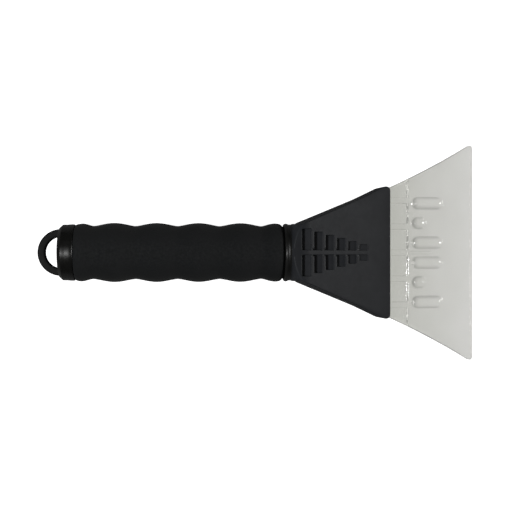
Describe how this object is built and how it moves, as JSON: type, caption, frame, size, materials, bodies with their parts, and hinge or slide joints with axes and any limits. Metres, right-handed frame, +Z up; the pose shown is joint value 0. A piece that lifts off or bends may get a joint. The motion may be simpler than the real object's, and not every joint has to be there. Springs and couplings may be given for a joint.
{
  "type": "windshield ice scraper",
  "caption": "Hand scraper: a clear flared blade with ice-breaking teeth in a canted black head, on a tube handle with a ribbed foam grip and a hang loop.",
  "frame": {"origin": "middle of the whole tool's box, on the surface that the grip and the scraping edge rest on", "axes": "+X along the handle towards the blade, +Z up, out of the head's ribbed face"},
  "size_m": [0.2304, 0.1158, 0.0306],
  "materials": {
    "clear_blade": "clear polycarbonate with a slight grey tint, glossy",
    "head_plastic": "black moulded ABS with a fine matte grain",
    "screw_steel": "zinc-plated steel",
    "ring_plastic": "black, satin",
    "tube_metal": "drawn tube, plain",
    "grip_foam": "black closed-cell foam, dull",
    "cap_plastic": "black, smooth with soft gloss",
    "loop_plastic": "black flexible plastic, dull"
  },
  "bodies": {
    "root": {"scraper_blade": "clear_blade", "head_upper_shell": "head_plastic", "head_lower_shell": "head_plastic", "head_screw_front_left": "screw_steel", "head_screw_front_right": "screw_steel", "head_screw_rear_left": "screw_steel", "head_screw_rear_right": "screw_steel", "neck_ring": "ring_plastic", "handle_tube": "tube_metal", "foam_grip": "grip_foam", "end_cap": "cap_plastic", "hang_loop": "loop_plastic"}
  },
  "joints": []
}
